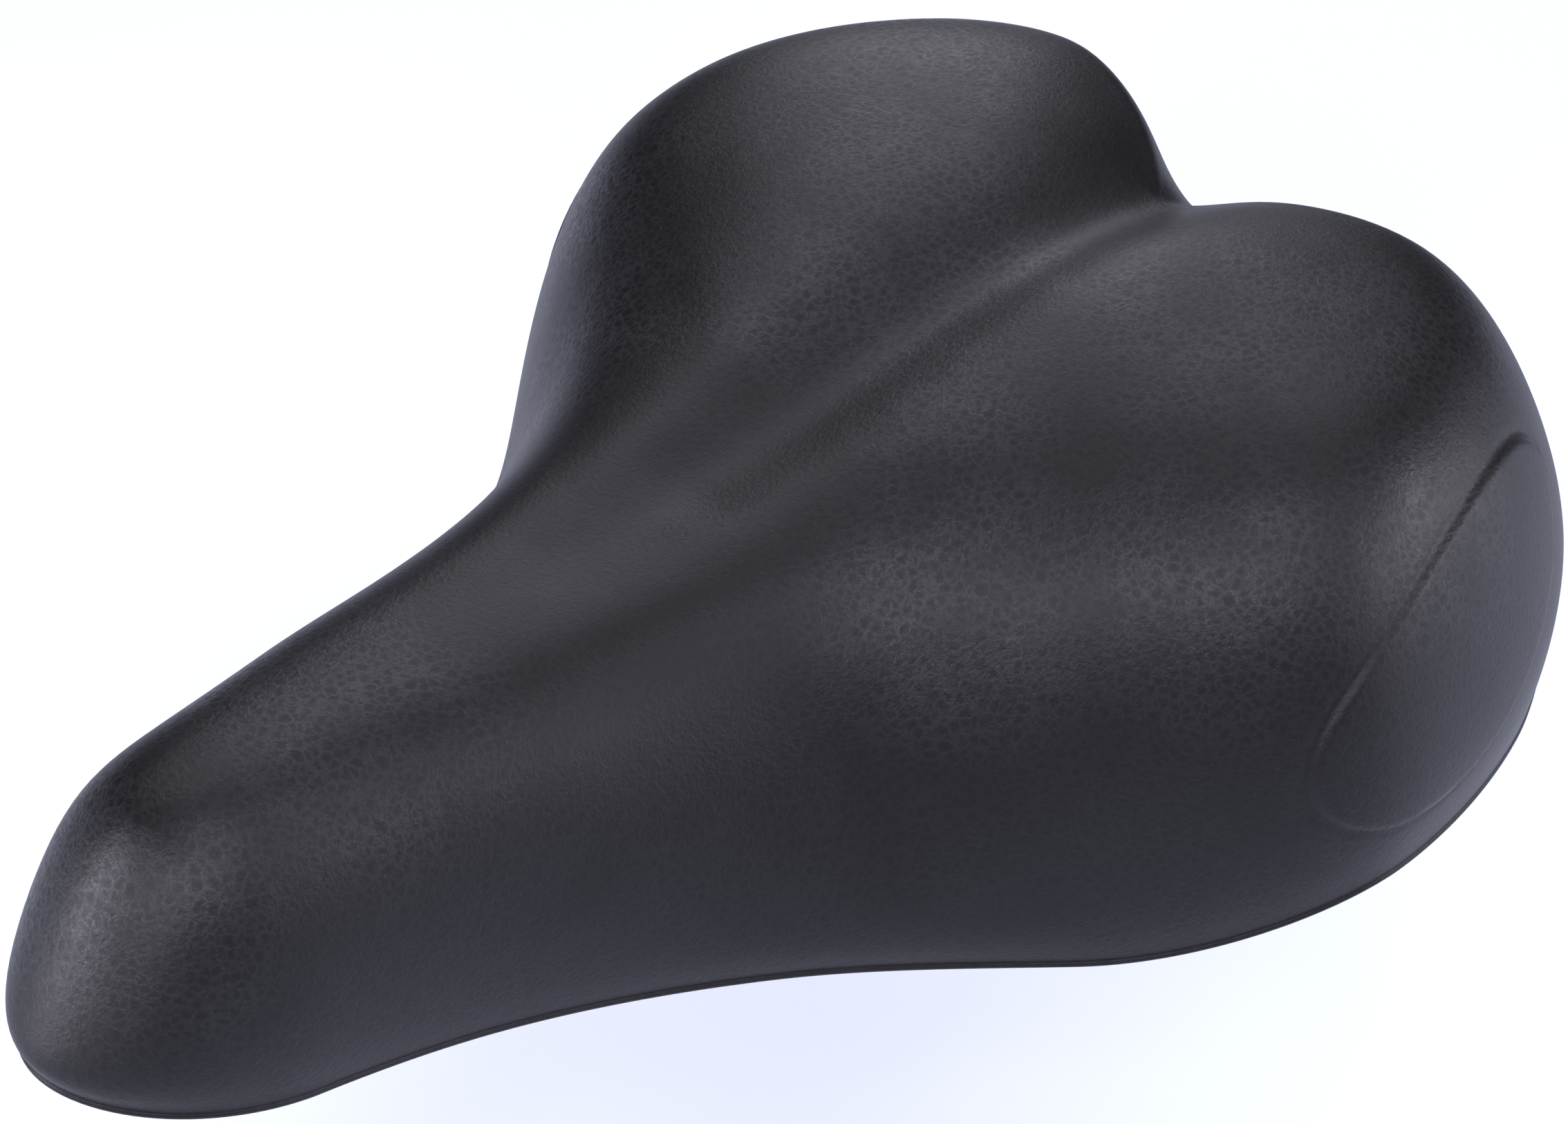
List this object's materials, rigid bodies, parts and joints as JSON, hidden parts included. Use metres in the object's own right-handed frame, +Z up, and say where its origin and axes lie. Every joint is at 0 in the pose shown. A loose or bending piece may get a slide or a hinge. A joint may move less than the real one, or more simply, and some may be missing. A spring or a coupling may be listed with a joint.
{
  "type": "bicycle saddle",
  "caption": "Wide padded comfort bicycle saddle with a central channel, on steel rails, whose rear is sprung by two elastomer blocks.",
  "frame": {"origin": "midway between the two rails, on their axes, in the middle of the straight stretch that a seatpost clamps", "axes": "+Z up, +Y to the rear along the rails, the nose points to -Y, +X is the rider's left"},
  "size_m": [0.1948, 0.2678, 0.0958],
  "materials": {
    "black_leather": "satin",
    "pad_foam": "matte",
    "black_plastic": "matte",
    "black_steel": "satin",
    "zinc_steel": "satin",
    "grey_nylon": "matte",
    "elastomer": "matte"
  },
  "bodies": {
    "rails": {"rail": "black_steel", "rear_bridge": "black_steel", "rail_cap_left": "black_plastic", "rail_cap_right": "black_plastic", "elastomer_left": "elastomer", "elastomer_right": "elastomer", "lower_seat_left": "black_steel", "lower_seat_right": "black_steel"},
    "shell": {"cover": "black_leather", "foam_pad": "pad_foam", "base_pan": "black_plastic", "nose_bushing": "grey_nylon", "nose_clip": "zinc_steel", "nose_screw_front": "zinc_steel", "nose_screw_rear": "zinc_steel", "upper_cup_left": "black_plastic", "upper_cup_right": "black_plastic", "bolt_left": "zinc_steel", "bolt_right": "zinc_steel", "bolt_washer_left": "zinc_steel", "bolt_washer_right": "zinc_steel", "bolt_nut_left": "zinc_steel", "bolt_nut_right": "zinc_steel"}
  },
  "joints": [
    {"name": "suspension_tilt", "type": "hinge", "parent": "rails", "child": "shell", "pos_m": [0, -0.12, 0.027], "axis": [-1, 0, 0], "range_deg": [0, 1.8], "stiffness_Nm_per_rad": 3000, "deforming": ["elastomer_left", "elastomer_right"]}
  ]
}
